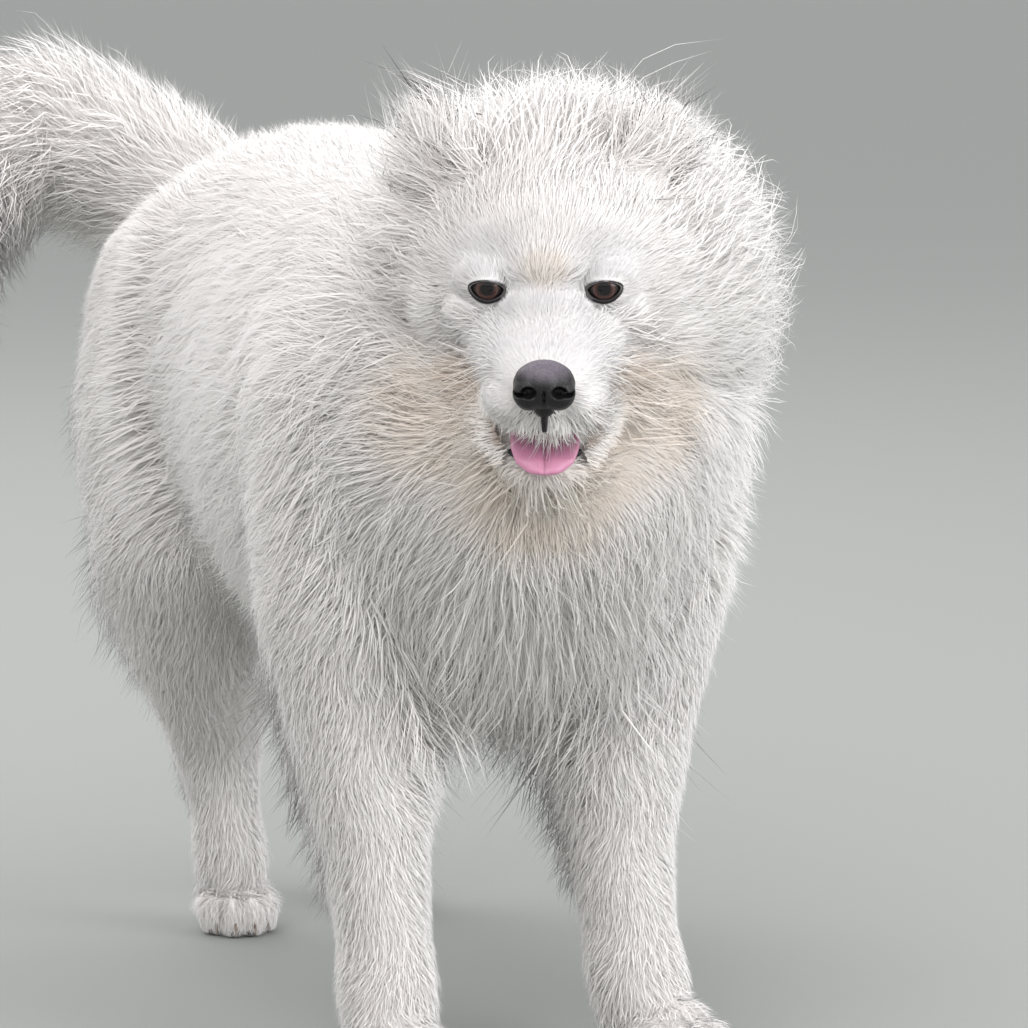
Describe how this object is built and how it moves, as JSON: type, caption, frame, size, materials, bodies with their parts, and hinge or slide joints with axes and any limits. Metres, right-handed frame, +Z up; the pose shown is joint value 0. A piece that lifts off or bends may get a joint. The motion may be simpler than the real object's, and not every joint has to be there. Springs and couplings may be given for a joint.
{
  "type": "samoyed dog model",
  "caption": "Life-size still model of a standing white Samoyed dog, head turned a little, mouth open, tail arched over its right side; rests on its paws.",
  "frame": {"origin": "midway along and across the model's box, at the level of the soles", "axes": "+Z up; the dog faces -Y with its left side at +X"},
  "size_m": [0.5, 0.9312, 0.6264],
  "materials": {
    "coat": "matte long soft fur, cream at the mouth corners and cheeks",
    "eye": "wet gloss, dark red-brown",
    "nose_leather": "pebbled, satin, moist",
    "tongue": "moist pink, soft gloss"
  },
  "bodies": {
    "root": {"eye_right": "eye", "eye_left": "eye", "nose": "nose_leather", "tongue": "tongue", "ear_right": "coat", "ear_left": "coat", "head": "coat", "neck": "coat", "chest": "coat", "barrel": "coat", "rump": "coat", "tail_base": "coat", "tail_plume": "coat", "foreleg_right": "coat", "forepaw_right": "coat", "thigh_right": "coat", "hindleg_right": "coat", "hindpaw_right": "coat", "foreleg_left": "coat", "forepaw_left": "coat", "thigh_left": "coat", "hindleg_left": "coat", "hindpaw_left": "coat"}
  },
  "joints": []
}
